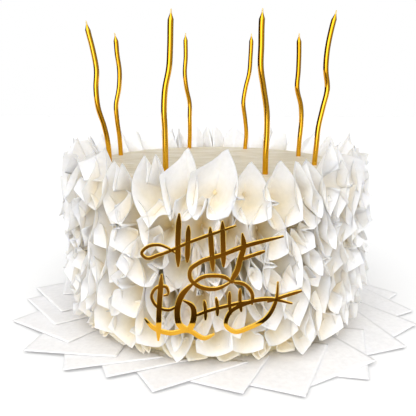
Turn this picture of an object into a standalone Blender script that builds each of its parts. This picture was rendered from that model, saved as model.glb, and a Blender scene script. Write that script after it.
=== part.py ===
"""Birthday cake dressed in pinched wafer-paper squares, with eight wavy gold candles and a gold scroll topper.

Metres, +Z up. The origin is the middle of the cake's underside and the front of the cake faces -Y.
Bearings are measured from the front, turning towards +X.
"""
import math
import random

import bmesh
import bpy
import numpy as np

for old in list(bpy.data.objects):
    bpy.data.objects.remove(old)

MM = 0.001
GAP = 0.4 * MM  # clear space between two pieces that touch in the real thing
SLIVER = 0.01 * MM  # edges shorter than this are dissolved

# The frosted cake
CORE_RADIUS = 104 * MM
CORE_HEIGHT = 136 * MM
CORE_EDGE_RADIUS = 5 * MM
CORE_SEGMENTS = 40

# The paper squares pinched into the frosting, counted row by row from the top
ROWS = 5
RUFFLES_PER_ROW = 34
TOP_ROW_HEIGHT = 125 * MM
ROW_STEP = 24 * MM
SHEET_HALF_SIDE = 29 * MM
LOWEST_SHEET_SHARE = 0.88
EDGE_BOW = 0.55  # how far out the corners reach against the middles of the sides: 1 would be a flat square
PAPER_THICKNESS = 1.0 * MM
PINCH_DEPTH = 2.0 * MM
RUFFLE_SEED = 12
RUFFLE_FLOOR = 6.5 * MM
ROW_OVERLAP = 0.35  # how far each row hangs over the one below, per unit of reach
FOLDS_TRIED = 8  # of which the one that fills its place best is kept
CELL_STRETCH = 1.6  # height of a ruffle's share of the side against its width

# How a pinched square folds: sixteen bearings round the pinch, in degrees sideways and upwards from straight
# out. The corners of the square are the bearings 0, 4, 8 and 12. The second tuple names those that the solid
# keeps, the tips, the folds and the widest places.
HEART = (
    ((2, -46), (18, -36), (29, -14), (28, 14), (10, 43), (5, 26), (3, 6), (9, -12),
     (0, -25), (-9, -12), (-3, 6), (-2, 26), (-8, 44), (-26, 18), (-29, -12), (-16, -36)),
    (0, 2, 4, 6, 8, 12, 14),
)
TWIN = (
    ((5, 44), (19, 30), (28, 6), (24, -18), (6, -42), (0, -26), (-2, -9), (-4, -26),
     (-8, -41), (-26, -24), (-31, 0), (-27, 20), (-8, 42), (-5, 26), (-4, 13), (-1, 28)),
    (0, 2, 4, 6, 8, 10, 12),
)
BOAT = (
    ((2, 44), (17, 31), (28, 10), (26, -15), (8, -41), (1, -26), (0, -11), (-3, -26),
     (-8, -42), (-24, -26), (-31, -8), (-33, 9), (-30, 24), (-22, 30), (-15, 36), (-7, 41)),
    (0, 2, 4, 6, 8, 10, 12),
)
LEAF = (
    ((0, 46), (15, 34), (25, 16), (27, -4), (22, -24), (9, -37), (-3, -36), (-5, -14),
     (-8, -36), (-20, -35), (-29, -22), (-31, -4), (-28, 10), (-22, 24), (-15, 36), (-8, 43)),
    (0, 3, 5, 7, 9, 11, 14),
)
SHELL = (
    ((0, 45), (16, 33), (27, 15), (30, -4), (25, -24), (13, -38), (-2, -44), (-16, -36),
     (-27, -20), (-29, -5), (-12, -3), (-29, 1), (-31, 12), (-26, 24), (-18, 34), (-9, 42)),
    (0, 2, 4, 6, 8, 10, 12),
)
FOLDS, FOLD_SHARES = (HEART, TWIN, BOAT, LEAF, SHELL), (3, 1, 1, 5, 5)

# The flat squares laid in a ring round the foot
SKIRT_SHEETS = 25
SKIRT_SIDE = 74 * MM
SKIRT_THICKNESS = 0.5 * MM
SKIRT_SLOPE = 0.039  # each sheet tips sideways by this much, so that it lies on the next
SKIRT_MIDDLE = 2.2 * MM
SKIRT_TIP_RADIUS = 164 * MM  # at the front
SKIRT_SIDE_REACH = 18 * MM  # how much further out the corners lie at the sides and behind
SKIRT_SEED = 5
# Those in front, by number: degrees from an even place, degrees of spin, millimetres out to the corner
FRONT_SQUARES = {23: (-3, 37, 153), 24: (0, 47, 156), 0: (0.3, 25, 153), 1: (5.8, 43, 166), 2: (6, 5, 158)}

# The candles: bearing, distance from the middle, sideways bends at even steps up, in millimetres, and height
CANDLE_RADIUS = 2.1 * MM
CANDLE_IN_CAKE = 20 * MM
CANDLE_TAPER = 7 * MM
CANDLE_TIP_RADIUS = 0.6 * MM
CANDLE_SIDES = 8
BEND_STEP = 15 * MM
CANDLES = (
    (-75, 91, (0, -0.5, -3, -7, -8, -7, -9, -12), -13, 112),
    (-108, 92, (0, -0.5, -2, -2.5, 0.5, 1.5, 0, -1), -1.5, 108),
    (-24, 88, (0, 0, 0, -0.5, 0.5, 3.5, 4.5, 5), 5.5, 114),
    (-163, 90, (0, 0.5, 0.5, 0.5, -2.5, -4, -3, -3), -3, 113),
    (159, 86, (0, 1, -0.5, -2.5, -0.5, 3, 4, 4.5), 4.5, 112),
    (25, 87, (0, 0, 0.5, 0, -2.5, -5, -5, -5), -4.5, 114),
    (107, 80, (0, 0.5, 1.5, 0.5, -3.5, -3, -3, -3.5), -3.5, 107),
    (69, 87, (0, 1, 2, 5, 8, 6, 6.5, 9), 12.5, 119.5),
)

# The topper: strokes as half width and (across, up) points, all in millimetres
TOPPER_THICKNESS = 1.5 * MM
TOPPER_LEAN = 0.044
TOPPER_FRONT_Y = -134 * MM  # of the plate's middle at foot level
STROKE_TIP = 0.7
STROKES = (
    (1.1, ((-25, 91), (-31, 95), (-37, 97), (-45, 95), (-48, 91), (-45, 88), (-37, 90), (-16, 99), (14, 110))),
    (1.5, ((45, 103), (19, 96), (4, 90), (-10, 85), (-16, 80), (-16, 74), (-11, 69), (1, 67), (13, 73))),
    (1.3, ((12, 71), (7, 75), (0, 76), (-8, 75), (-15, 70))),
    (1.9, ((18, 105), (19, 96), (17, 88), (15, 80), (10, 71))),
    (1.2, ((33, 93), (22, 89), (16, 87))),
    (1.9, ((-23, 118), (-24, 100), (-24, 82))),
    (1.8, ((-17, 110), (-17.5, 98), (-18, 85))),
    (1.8, ((-3, 109), (-2, 94), (-1, 79))),
    (1.8, ((5, 113), (5.5, 98), (6, 82))),
    (2.1, ((-13, 72), (-22, 62), (-25, 50), (-23, 41), (-18, 38), (-14, 46), (-15, 55), (-21, 59))),
    (1.9, ((-35, 77), (-36, 66), (-37, 53), (-38, 30))),
    (1.1, ((-34, 62), (-31, 63), (-32, 68), (-38, 68), (-42, 62), (-39, 55), (-31, 52), (-23, 56))),
    (1.6, ((-47, 46), (-42, 40), (-30, 35.5), (-18, 37.5), (-6, 32), (0, 35))),
    (1.5, ((42, 72), (41, 59), (35, 47), (24, 40), (13, 37), (8, 41), (10, 50), (21, 57), (38, 60), (52, 57))),
    (1.2, ((58, 66), (46, 62), (35, 58))),
    (1.2, ((-15, 47), (-6, 51), (8, 55), (22, 58.5))),
    (1.3, ((12, 72), (20, 70), (25, 64), (25, 56))),
    (1.3, ((-7, 59), (-6, 52), (-6, 45))),
    (1.3, ((1, 61), (2, 54), (2, 48))),
    (1.3, ((10, 65), (10, 57), (11, 49))),
    (1.3, ((17, 67), (17, 59), (18, 51))),
)


def mesh_object(name, points, faces):
    mesh = bpy.data.meshes.new(name)
    mesh.from_pydata([tuple(p) for p in points], [], faces)
    shape = bmesh.new()
    shape.from_mesh(mesh)
    bmesh.ops.recalc_face_normals(shape, faces=shape.faces)
    shape.to_mesh(mesh)
    shape.free()
    obj = bpy.data.objects.new(name, mesh)
    bpy.context.scene.collection.objects.link(obj)
    return obj


def plain_material(name, colour, roughness, metallic=0.0):
    material = bpy.data.materials.new(name)
    material.use_nodes = True
    shader = material.node_tree.nodes["Principled BSDF"]
    shader.inputs["Base Color"].default_value = (*colour, 1)
    shader.inputs["Roughness"].default_value = roughness
    shader.inputs["Metallic"].default_value = metallic
    return material


def facing(bearing):
    """Outward and sideways directions at a bearing from the front."""
    outward = np.array((math.sin(bearing), -math.cos(bearing), 0))
    return outward, np.array((math.cos(bearing), math.sin(bearing), 0))


def joined(base, operation, name, pieces):
    """The base with the pieces added to it or cut from it, as a plain mesh without slivers."""
    group = bpy.data.collections.new(name)
    bpy.context.scene.collection.children.link(group)
    for piece in pieces:
        bpy.context.scene.collection.objects.unlink(piece)
        group.objects.link(piece)
    change = base.modifiers.new(name, "BOOLEAN")
    change.operation = operation
    change.operand_type = "COLLECTION"
    change.collection = group
    change.solver = "MANIFOLD"
    done = bpy.data.meshes.new_from_object(base.evaluated_get(bpy.context.evaluated_depsgraph_get()))
    whole = bmesh.new()
    whole.from_mesh(done)
    bmesh.ops.triangulate(whole, faces=whole.faces)
    bmesh.ops.dissolve_degenerate(whole, dist=SLIVER, edges=whole.edges)
    bmesh.ops.triangulate(whole, faces=whole.faces)
    whole.to_mesh(done)
    whole.free()
    base.modifiers.clear()
    base.data = done
    for piece in pieces:
        bpy.data.objects.remove(piece)
    bpy.data.collections.remove(group)


# The frosted cake: a turned solid with a rounded top edge


def frosted_core():
    side = CORE_RADIUS - CORE_EDGE_RADIUS
    shoulder = CORE_HEIGHT - CORE_EDGE_RADIUS
    profile = [(CORE_RADIUS, 0.0)]
    for a in (0, 45, 90):
        lean = math.radians(a)
        profile.append((side + CORE_EDGE_RADIUS * math.cos(lean), shoulder + CORE_EDGE_RADIUS * math.sin(lean)))
    points = []
    for radius, height in profile:
        for k in range(CORE_SEGMENTS):
            turn = 2 * math.pi * k / CORE_SEGMENTS
            points.append((radius * math.cos(turn), radius * math.sin(turn), height))
    faces = [tuple(range(CORE_SEGMENTS)), tuple(range(len(points) - CORE_SEGMENTS, len(points)))]
    for ring in range(len(profile) - 1):
        for k in range(CORE_SEGMENTS):
            a, b = ring * CORE_SEGMENTS + k, ring * CORE_SEGMENTS + (k + 1) % CORE_SEGMENTS
            faces.append((a, b, b + CORE_SEGMENTS, a + CORE_SEGMENTS))
    return mesh_object("cake", points, faces)


# The pinched squares


def random_fold(draw):
    """One of the five ways of folding, mirrored, stretched and turned at random: bearings and ray lengths."""
    bearings, kept = draw.choices(FOLDS, FOLD_SHARES)[0]
    fold = np.array(bearings, float)
    fold[:, 0] *= draw.choice((-1, 1)) * draw.uniform(0.85, 1.15)
    fold[:, 1] *= draw.choice((1, 1, -1)) * draw.uniform(0.9, 1.2)
    roll = math.radians(draw.uniform(-28, 28))
    turn = np.array(((math.cos(roll), -math.sin(roll)), (math.sin(roll), math.cos(roll))))
    round_sheet = 2 * np.pi * np.array(kept) / len(bearings) - np.pi / 4
    straight = 1 / np.maximum(abs(np.cos(round_sheet)), abs(np.sin(round_sheet)))
    return (fold @ turn.T)[list(kept)], straight**EDGE_BOW


def ruffle_plan():
    """Where each square is pinched in, how it is folded and how long its sides are."""
    draw = random.Random(RUFFLE_SEED)
    plan = []
    for row in range(ROWS):
        for k in range(RUFFLES_PER_ROW):
            place = k + 0.5 * (row % 2) + draw.uniform(-0.12, 0.12)
            height = TOP_ROW_HEIGHT - row * ROW_STEP + draw.uniform(-3, 3) * MM
            folds = [random_fold(draw) for _ in range(FOLDS_TRIED)]
            size = draw.uniform(0.94, 1.06) * (LOWEST_SHEET_SHARE if row == ROWS - 1 else 1.0)
            out, across = facing(2 * math.pi * place / RUFFLES_PER_ROW)
            pinch = out * (CORE_RADIUS - PINCH_DEPTH) + np.array((0, 0, height))
            lean = math.radians(9 + draw.uniform(-6, 6))
            axis = out * math.cos(lean) + np.array((0, 0, math.sin(lean)))
            above = np.cross(across, axis) * -1
            above = above if above[2] > 0 else -above
            plan.append((row, pinch, out, np.array((across, above, axis)), folds, SHEET_HALF_SIDE * size))
    return plan


def shared_planes(plan):
    """For each square, the planes it must stay behind so that it doesn't run through its neighbours."""
    draw = random.Random(RUFFLE_SEED + 1)
    planes = [[] for _ in plan]
    for i, (row_i, pinch_i, out_i, *_) in enumerate(plan):
        for j in range(i + 1, len(plan)):
            row_j, pinch_j, out_j = plan[j][:3]
            between = pinch_j - pinch_i
            if np.linalg.norm(between) > 90 * MM:
                continue
            out = (out_i + out_j) / np.linalg.norm(out_i + out_j)
            across = np.array((-out[1], out[0], 0))
            sideways, upwards = between @ across, between[2] / CELL_STRETCH**2
            lean = abs(sideways) * draw.uniform(-0.3, 0.3) if row_i == row_j else upwards * ROW_OVERLAP
            normal = across * sideways + np.array((0, 0, upwards)) + out * lean
            normal /= np.linalg.norm(normal)
            middle = (pinch_i + pinch_j) / 2
            planes[i].append((normal, normal @ middle))
            planes[j].append((-normal, -normal @ middle))
    return planes


def fold_rays(fold, axes):
    """Unit rays from the pinch for bearings given in degrees sideways and upwards."""
    angle = np.radians(np.linalg.norm(fold, axis=1))
    level = np.sin(angle) / np.maximum(angle, 1e-9)
    local = np.stack([np.radians(fold[:, 0]) * level, np.radians(fold[:, 1]) * level, np.cos(angle)], 1)
    return local @ axes


def fitted_fold(pinch, axes, fold, lengths, planes):
    """The fold squeezed towards its axis, side by side, until the whole square is clear of its neighbours."""
    normals = np.array([normal for normal, _ in planes])
    limits = np.array([limit for _, limit in planes]) - PAPER_THICKNESS - GAP / 2
    share = {"left": 1.0, "right": 1.0, "down": 1.0, "up": 1.0}
    for _ in range(80):
        squeezed = fold * np.stack(
            [
                np.where(fold[:, 0] > 0, share["right"], share["left"]),
                np.where(fold[:, 1] > 0, share["up"], share["down"]),
            ],
            1,
        )
        tips = pinch + fold_rays(squeezed, axes) * lengths[:, None]
        over = tips @ normals.T - limits
        low = (RUFFLE_FLOOR + PAPER_THICKNESS - tips[:, 2])[:, None]
        over = np.concatenate([over, low], 1)
        tip, plane = np.unravel_index(over.argmax(), over.shape)
        if over[tip, plane] <= 0:
            break
        normal = normals[plane] if plane < len(normals) else np.array((0, 0, -1.0))
        pushes = axes[:2] @ normal * squeezed[tip]
        if pushes[0] > pushes[1]:
            share["right" if fold[tip, 0] > 0 else "left"] *= 0.93
        else:
            share["up" if fold[tip, 1] > 0 else "down"] *= 0.93
    return squeezed


def clear_of_topper(tips):
    """Tips under the topper plate are pressed back behind it."""
    for tip in tips:
        if -62 * MM < tip[0] < 72 * MM and 14 * MM < tip[2] < 134 * MM:
            plate = TOPPER_FRONT_Y + tip[2] * TOPPER_LEAN + TOPPER_THICKNESS / 2
            tip[1] = max(tip[1], plate + PAPER_THICKNESS + GAP)
    return tips


def fold_area(fold):
    return abs(np.cross(fold, np.roll(fold, -1, 0)).sum())


def pinched_square(name, pinch, out, axes, folds, half, planes):
    """One folded square as a thin solid: a fan of front faces, a fan of back faces and the cut edge between."""
    fits = [(fitted_fold(pinch, axes, fold, half * reach, planes), half * reach) for fold, reach in folds]
    fold, lengths = max(fits, key=lambda fit: fold_area(fit[0]))
    rays = fold_rays(fold, axes)
    count = len(rays)
    front = clear_of_topper(pinch + rays * lengths[:, None])
    along = np.roll(rays, -1, 0) - np.roll(rays, 1, 0)
    away = np.cross(along, rays)
    away /= np.linalg.norm(away, axis=1, keepdims=True)
    back = front + away * PAPER_THICKNESS
    points = [pinch, pinch - out * 0.05 * MM, *front, *back]
    faces = []
    for k in range(count):
        n = (k + 1) % count
        f, g, b, c = 2 + k, 2 + n, 2 + count + k, 2 + count + n
        faces += [(0, f, g), (1, c, b), (f, b, c), (f, c, g)]
    return mesh_object(name, points, faces)


# The flat squares round the foot


def skirt_sheet(number, draw):
    """One flat square, trimmed clear of the cake and tipped so that the ring can lie like tiles."""
    bearing = 2 * math.pi * number / SKIRT_SHEETS
    reach = SKIRT_TIP_RADIUS + SKIRT_SIDE_REACH * min(1, 1 - math.cos(bearing)) + draw.uniform(-5, 4) * MM
    spin = math.radians(45 + draw.uniform(-13, 13))
    swing = draw.uniform(-5, 5) * MM
    if number in FRONT_SQUARES:
        shift, turned, corner = FRONT_SQUARES[number]
        bearing, spin, reach, swing = bearing + math.radians(shift), math.radians(turned), corner * MM, 0
    out, across = facing(bearing)
    to_corner = SKIRT_SIDE * math.sqrt(0.5)
    corners = []
    for quarter in range(4):
        turn = spin - math.pi / 4 + quarter * math.pi / 2
        corners.append((-to_corner * math.sin(turn), to_corner * math.cos(turn)))
    outermost = max(c[1] for c in corners)
    corners = [(x + swing, y + reach - outermost) for x, y in corners]
    inner = CORE_RADIUS + GAP
    outline = []
    for k, (x, y) in enumerate(corners):
        nx, ny = corners[(k + 1) % 4]
        if y >= inner:
            outline.append((x, y))
        if (y >= inner) != (ny >= inner):
            share = (inner - y) / (ny - y)
            outline.append((x + (nx - x) * share, inner))
    points = []
    for lift in (0, SKIRT_THICKNESS):
        for x, y in outline:
            height = SKIRT_MIDDLE + SKIRT_SLOPE * x + lift
            points.append(across * x + out * y + np.array((0, 0, height)))
    count = len(outline)
    faces = [tuple(range(count)), tuple(range(count, 2 * count))]
    faces += [(k, (k + 1) % count, (k + 1) % count + count, k + count) for k in range(count)]
    return mesh_object(f"square_{number + 1:02d}", points, faces)


# The candles


def tube(name, middles, radii, sides):
    """A closed tube of level rings along a nearly upright centre line."""
    points = []
    for (x, y, z), radius in zip(middles, radii):
        for k in range(sides):
            turn = 2 * math.pi * (k + 0.5) / sides
            points.append((x + radius * math.cos(turn), y + radius * math.sin(turn), z))
    faces = [tuple(range(sides)), tuple(range(len(points) - sides, len(points)))]
    for ring in range(len(middles) - 1):
        for k in range(sides):
            a, b = ring * sides + k, ring * sides + (k + 1) % sides
            faces.append((a, b, b + sides, a + sides))
    return mesh_object(name, points, faces)


def candle_line(bearing, distance, bends, tip_bend, height):
    """Centre line of one candle from its foot in the cake to its tip."""
    out, _ = facing(math.radians(bearing))
    foot = out * distance * MM + np.array((0, 0, CORE_HEIGHT))
    line = [foot - np.array((0, 0, CANDLE_IN_CAKE))]
    for k, bend in enumerate(bends):
        line.append(foot + np.array((bend * MM, 0.3 * bend * MM, k * BEND_STEP)))
    last = foot + np.array((tip_bend * MM, 0.3 * tip_bend * MM, height * MM))
    near = max(0, (line[-1][2] - last[2] + CANDLE_TAPER) / CANDLE_TAPER)
    line[-1] = line[-1] + (last - line[-1]) * near * 0.5
    shoulder = line[-1] + (last - line[-1]) * 0.1
    if last[2] - line[-1][2] > CANDLE_TAPER:
        shoulder = last + (line[-1] - last) * CANDLE_TAPER / (last[2] - line[-1][2])
    return line + [shoulder, last]


# The topper


def ribbon(name, half_width, stroke):
    """One stroke of the topper: a flat ribbon, full in the middle and drawn out to a narrow tip at each end."""
    line = np.array(stroke, float)
    ahead = np.diff(line, axis=0)
    ahead /= np.linalg.norm(ahead, axis=1, keepdims=True)
    sides = np.stack([-ahead[:, 1], ahead[:, 0]], 1)
    left, right = [], []
    last = len(line) - 1
    for k, spot in enumerate(line):
        before, after = sides[max(k - 1, 0)], sides[min(k, last - 1)]
        side = (before + after) / (1 + before @ after)
        width = STROKE_TIP if k in (0, last) else half_width
        left.append(spot + side * width)
        right.append(spot - side * width)
    outline = left + right[::-1]
    points = []
    for depth in (-TOPPER_THICKNESS / 2, TOPPER_THICKNESS / 2):
        for across, up in outline:
            points.append((across * MM, depth, up * MM))
    count = len(outline)
    faces = []
    for k in range(last):
        quad = (k, k + 1, count - 2 - k, count - 1 - k)
        faces += [quad, tuple(count + q for q in quad)]
    faces += [(k, (k + 1) % count, (k + 1) % count + count, k + count) for k in range(count)]
    return mesh_object(name, points, faces)


# The whole cake, piece by piece

cake = frosted_core()
plan = ruffle_plan()
planes = shared_planes(plan)
squares = [pinched_square(f"pinched_{k}", *one[1:], planes[k]) for k, one in enumerate(plan)]
joined(cake, "UNION", "paper", squares)
lines = [candle_line(*one) for one in CANDLES]
sockets = []
for k, line in enumerate(lines):
    below = line[0] - np.array((0, 0, GAP))
    above = line[0] + np.array((0, 0, CANDLE_IN_CAKE + 4 * MM))
    sockets.append(tube(f"socket_{k}", [below, above], [CANDLE_RADIUS + GAP] * 2, CANDLE_SIDES))
joined(cake, "DIFFERENCE", "holes", sockets)
cake.data.materials.append(plain_material("frosted_paper", (0.84, 0.80, 0.70), 0.75))

wax = plain_material("gold_wax", (0.62, 0.38, 0.05), 0.25, 1.0)
for k, line in enumerate(lines):
    radii = [CANDLE_RADIUS] * (len(line) - 1) + [CANDLE_TIP_RADIUS]
    candle = tube(f"candle_{k + 1}", line, radii, CANDLE_SIDES)
    candle.data.materials.append(wax)

ribbons = [ribbon(f"stroke_{k}", *one) for k, one in enumerate(STROKES)]
topper = ribbons[0]
topper.name = "topper"
joined(topper, "UNION", "strokes", ribbons[1:])
for point in topper.data.vertices:
    point.co.y += TOPPER_FRONT_Y + point.co.z * TOPPER_LEAN
topper.data.materials.append(plain_material("gold_mirror", (0.70, 0.45, 0.10), 0.12, 1.0))

paper = plain_material("wafer_paper", (0.84, 0.83, 0.80), 0.8)
draw = random.Random(SKIRT_SEED)
for k in range(SKIRT_SHEETS):
    skirt_sheet(k, draw).data.materials.append(paper)
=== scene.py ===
# %% [markdown]
# # A birthday cake dressed in pinched paper
# The cake is a tall round sponge in cream frosting. Small squares of wafer paper, the edible starch paper of
# cake makers, are pinched at their middles and pushed into the soft frosting, row by row, so that they stand
# out like petals. Flat squares of the same paper lie in a ring round the foot, eight wavy gold candles stand
# on top, and a scroll cut from gold mirror acrylic leans on the front.
#
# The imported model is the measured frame. It is loaded first, and every finer piece below takes the place of
# one of its nodes, so that nothing changes size.

# %% Load the measured frame
import math
import random

import bpy
import numpy as np
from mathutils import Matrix, Vector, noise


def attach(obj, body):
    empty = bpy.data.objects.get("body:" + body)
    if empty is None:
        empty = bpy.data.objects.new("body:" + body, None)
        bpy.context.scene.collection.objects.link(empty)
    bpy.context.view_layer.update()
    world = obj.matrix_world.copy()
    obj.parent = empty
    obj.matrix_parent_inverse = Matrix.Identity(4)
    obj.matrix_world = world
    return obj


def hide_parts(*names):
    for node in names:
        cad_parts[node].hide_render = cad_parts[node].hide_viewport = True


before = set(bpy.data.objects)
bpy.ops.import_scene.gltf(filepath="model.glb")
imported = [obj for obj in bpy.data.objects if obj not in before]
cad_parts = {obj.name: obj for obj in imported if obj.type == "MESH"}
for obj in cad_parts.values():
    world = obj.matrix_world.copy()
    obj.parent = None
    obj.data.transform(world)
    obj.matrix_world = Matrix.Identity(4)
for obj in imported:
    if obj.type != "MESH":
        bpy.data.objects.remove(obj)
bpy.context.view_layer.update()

MM = 0.001

# %% [markdown]
# ## Two helpers for materials
# Colours are written as the hex codes that a screen uses, and a shader wants linear light, so one function
# turns one into the other. A second adds a node, sets it up and links it, which keeps each material short
# enough to read like a recipe.

# %% Colour and node helpers


def srgb(code):
    """Linear red, green, blue and alpha from a hex code."""
    values = [int(code[k : k + 2], 16) / 255 for k in (1, 3, 5)]
    return (*[v / 12.92 if v <= 0.04045 else ((v + 0.055) / 1.055) ** 2.4 for v in values], 1.0)


def add(tree, kind, inputs=None, **settings):
    """A new node with its settings. An input given as a socket is linked, and anything else is set."""
    made = tree.nodes.new("ShaderNode" + kind)
    for name, value in settings.items():
        setattr(made, name, value)
    for name, value in (inputs or {}).items():
        if isinstance(value, bpy.types.NodeSocket):
            tree.links.new(value, made.inputs[name])
        else:
            made.inputs[name].default_value = value
    return made


def new_material(name):
    """An empty material with its Principled shader at hand."""
    made = bpy.data.materials.new(name)
    made.use_nodes = True
    return made, made.node_tree, made.node_tree.nodes["Principled BSDF"]


def ramp_stops(ramp, stops):
    """Sets a colour ramp's stops from (place, colour) pairs."""
    while len(ramp.color_ramp.elements) < len(stops):
        ramp.color_ramp.elements.new(0.5)
    for element, (place, colour) in zip(ramp.color_ramp.elements, stops):
        element.position = place
        element.color = colour


print("white paper in linear light:", [round(v, 3) for v in srgb("#F4F1EA")])

# %% [markdown]
# ## Two helpers for pieces
# Each piece is a mesh made from points and faces. It has to ride on the body's empty, hide the node that it
# stands for and carry its material, so one function does all of that. A second joins rings of points into a
# skin, for everything that is round.

# %% Piece helpers


def new_piece(name, points, faces, material, node, smooth=True, marks=None):
    """A mesh piece that stands for a node. `marks` holds named numbers for each point, for its material."""
    mesh = bpy.data.meshes.new(name)
    mesh.from_pydata([tuple(p) for p in points], [], [tuple(f) for f in faces])
    mesh.polygons.foreach_set("use_smooth", [smooth] * len(mesh.polygons))
    for mark, values in (marks or {}).items():
        mesh.attributes.new(mark, "FLOAT", "POINT").data.foreach_set("value", np.asarray(values, np.float32))
    mesh.materials.append(material)
    piece = bpy.data.objects.new(name, mesh)
    bpy.context.scene.collection.objects.link(piece)
    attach(piece, "root")
    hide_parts(node)
    return piece


def joined_rings(count, rings):
    """The faces between rings of points one above another, each ring `count` points long."""
    faces = []
    for ring in range(rings - 1):
        for k in range(count):
            a, b = ring * count + k, ring * count + (k + 1) % count
            faces.append((a, b, b + count, a + count))
    return faces


print("one square between two rings of four:", joined_rings(4, 2)[0])

# %% [markdown]
# ## Wafer paper
# Wafer paper is rolled from potato starch: matt, a little mottled, and thin enough for light to come through.
# Where it is pushed into the frosting it takes up fat and turns yellow in ragged buttery spots close to each
# pinch. The shader is a rough Principled with some scattering below the surface for the glow. Its colour is
# also painted warmer from the outside of the ring of paper inwards, except along the free top edge: painted
# warm light that stands in for the cream-coloured light bounced deep between the folds. Two bumps finish it:
# the fine grain of the starch, drawn at 1 mm so that it shows, and the slow cockle of paper that has been
# handled, about 9 mm across.

# %% Wafer paper material


def wafer_paper(name, low, high, pinched_soak_and_glow):
    """Paper mottled between two colours. Pinched paper adds buttery spots and painted warm light deep in."""
    made, tree, shader = new_material(name)
    place = add(tree, "TexCoord").outputs["Object"]
    mottle = add(tree, "TexNoise", {"Vector": place, "Scale": 260.0, "Detail": 4.0, "Roughness": 0.6})
    mottled = add(tree, "ValToRGB", {"Fac": mottle.outputs["Fac"]})
    ramp_stops(mottled, [(0.35, srgb(low)), (0.65, srgb(high))])
    colour = mottled.outputs["Color"]
    if pinched_soak_and_glow:
        pinch = add(tree, "Attribute", attribute_name="from_pinch").outputs["Fac"]
        # Painted warm light: warmer close to the frosting and below the top edge, for light bounced between
        # folds.
        flat = add(tree, "VectorMath", {0: place, 1: (1, 1, 0)}, operation="MULTIPLY")
        reach = add(tree, "VectorMath", {0: flat.outputs["Vector"]}, operation="LENGTH")
        outer = add(tree, "MapRange", {"Value": reach.outputs["Value"], "From Min": 0.104, "From Max": 0.128})
        height = add(tree, "SeparateXYZ", {"Vector": place})
        free = add(tree, "MapRange", {"Value": height.outputs["Z"], "From Min": 0.105, "From Max": 0.138})
        both = {0: outer.outputs["Result"], 1: free.outputs["Result"]}
        clear = add(tree, "Math", both, operation="MAXIMUM")
        painted_glow = add(tree, "ValToRGB", {"Fac": clear.outputs["Value"]})
        ramp_stops(painted_glow, [(0.0, srgb("#F6DEA8")), (0.5, srgb("#FCF1D9")), (1.0, srgb("#FFFEFC"))])
        factors = {0: 1.0, 6: colour, 7: painted_glow.outputs["Color"]}
        glow_tinted = add(tree, "Mix", factors, data_type="RGBA", blend_type="MULTIPLY")
        blotch = add(tree, "TexNoise", {"Vector": place, "Scale": 420.0, "Detail": 3.0})
        ragged = add(tree, "Math", {0: blotch.outputs["Fac"], 1: 9.0, 2: pinch}, operation="MULTIPLY_ADD")
        soaked = add(tree, "MapRange", {"Value": ragged.outputs["Value"], "From Min": 5.0, "From Max": 8.5})
        colours = {0: soaked.outputs["Result"], 6: srgb("#E9D08E"), 7: glow_tinted.outputs[2]}
        soak_and_glow = add(tree, "Mix", colours, data_type="RGBA")
        colour = soak_and_glow.outputs[2]
    tree.links.new(colour, shader.inputs["Base Color"])
    cockle = add(tree, "TexNoise", {"Vector": place, "Scale": 110.0, "Detail": 2.0})
    grain = add(tree, "TexNoise", {"Vector": place, "Scale": 1000.0, "Detail": 2.0})
    broad = add(tree, "Bump", {"Height": cockle.outputs["Fac"], "Strength": 0.35, "Distance": 0.0012})
    starch = {"Height": grain.outputs["Fac"], "Strength": 0.25, "Distance": 0.0002}
    fine = add(tree, "Bump", {**starch, "Normal": broad.outputs["Normal"]})
    tree.links.new(fine.outputs["Normal"], shader.inputs["Normal"])
    shader.inputs["Roughness"].default_value = 0.72
    shader.inputs["IOR"].default_value = 1.45
    shader.inputs["Specular IOR Level"].default_value = 0.3
    shader.inputs["Subsurface Weight"].default_value = 0.5 if pinched_soak_and_glow else 0.1
    shader.inputs["Subsurface Radius"].default_value = (1.0, 0.85, 0.6)
    shader.inputs["Subsurface Scale"].default_value = 0.003
    return made


petal_paper = wafer_paper("wafer_paper_pinched", "#F7F6F4", "#FDFCFB", True)
flat_paper = wafer_paper("wafer_paper_flat", "#F3F2F2", "#FAF9F9", False)
print("materials:", petal_paper.name, flat_paper.name)

# %% [markdown]
# ## Whipped cream frosting
# The frosting was drawn smooth with a palette knife, and on the top the knife left fine, nearly parallel
# streaks. Cream is a warm off-white, glossy only in places where its fat shows, and light sinks a few
# millimetres into it. The streaks are a noise pulled out along the knife's way, about 8 mm apart with finer
# ones between, and their low grooves are painted darker: painted shade. On the side, where the cream shows
# only between the papers, it is painted a brighter butter yellow than the top: painted warm light that
# stands in for the glow bounced between the papers.

# %% Frosting material

frosting, tree, shader = new_material("whipped_cream")
place = add(tree, "TexCoord").outputs["Object"]
pulled = add(tree, "Mapping", {"Vector": place, "Scale": (28.0, 130.0, 60.0), "Rotation": (0, 0, 0.12)})
drawn = {"Vector": pulled.outputs["Vector"], "Scale": 1.0, "Detail": 5.0, "Roughness": 0.6, "Distortion": 1.6}
streak = add(tree, "TexNoise", drawn)
# Painted shade: the colour follows the same noise as the bump, so the streaks' low grooves are darker.
cream_and_groove_shade = add(tree, "ValToRGB", {"Fac": streak.outputs["Fac"]})
ramp_stops(cream_and_groove_shade, [(0.32, srgb("#C6BA9E")), (0.48, srgb("#D3C9B2")), (0.64, srgb("#DFD7C7"))])
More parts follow.
